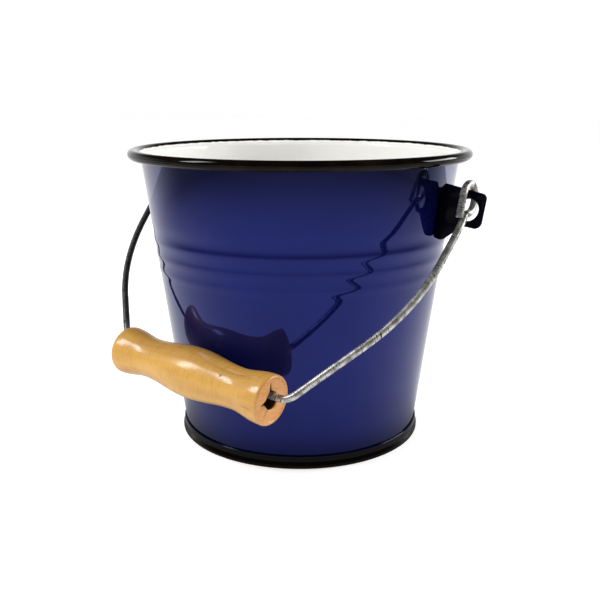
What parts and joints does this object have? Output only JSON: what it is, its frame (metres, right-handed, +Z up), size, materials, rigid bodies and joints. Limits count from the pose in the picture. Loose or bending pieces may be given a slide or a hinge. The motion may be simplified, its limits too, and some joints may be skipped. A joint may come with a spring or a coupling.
{
  "type": "milk pail",
  "caption": "Tapered enamelled steel pail with a rolled rim, foot ring, side ears and a swinging wire bail with a turned wooden grip.",
  "frame": {"origin": "centre of the circle that the foot ring stands on", "axes": "+Z up through the mouth, +X from ear to ear, the bail hangs towards -Y"},
  "size_m": [0.2338, 0.2083, 0.171],
  "materials": {
    "blue_enamel": "glossy dark blue vitreous enamel",
    "white_enamel": "glossy white vitreous enamel",
    "black_enamel": "glossy black vitreous enamel edging",
    "pan_enamel": "dark blue enamel underside",
    "foot_enamel": "black enamel edging, worn where it stands",
    "ear_enamel": "glossy dark blue vitreous enamel",
    "steel_wire": "drawn steel, hidden",
    "zinc_wire": "galvanised, dull and scratched",
    "beech": "turned and clear lacquered"
  },
  "bodies": {
    "pail": {"pail_wall": "blue_enamel", "enamel_lining": "white_enamel", "rim_bead": "black_enamel", "rim_wire": "steel_wire", "bottom_pan": "pan_enamel", "foot_ring": "foot_enamel", "ear_right": "ear_enamel", "ear_left": "ear_enamel"},
    "bail": {"bail_wire": "zinc_wire"},
    "grip": {"grip": "beech"}
  },
  "joints": [
    {"name": "bail_swing", "type": "hinge", "parent": "pail", "child": "bail", "pos_m": [0, 0, 0.1506], "axis": [-1, 0, 0], "range_deg": [0, 270]},
    {"name": "grip_spin", "type": "hinge", "parent": "bail", "child": "grip", "pos_m": [-0.0045, -0.09287, 0.05671], "axis": [0.9974, -0.0387, -0.0613], "continuous": true}
  ]
}
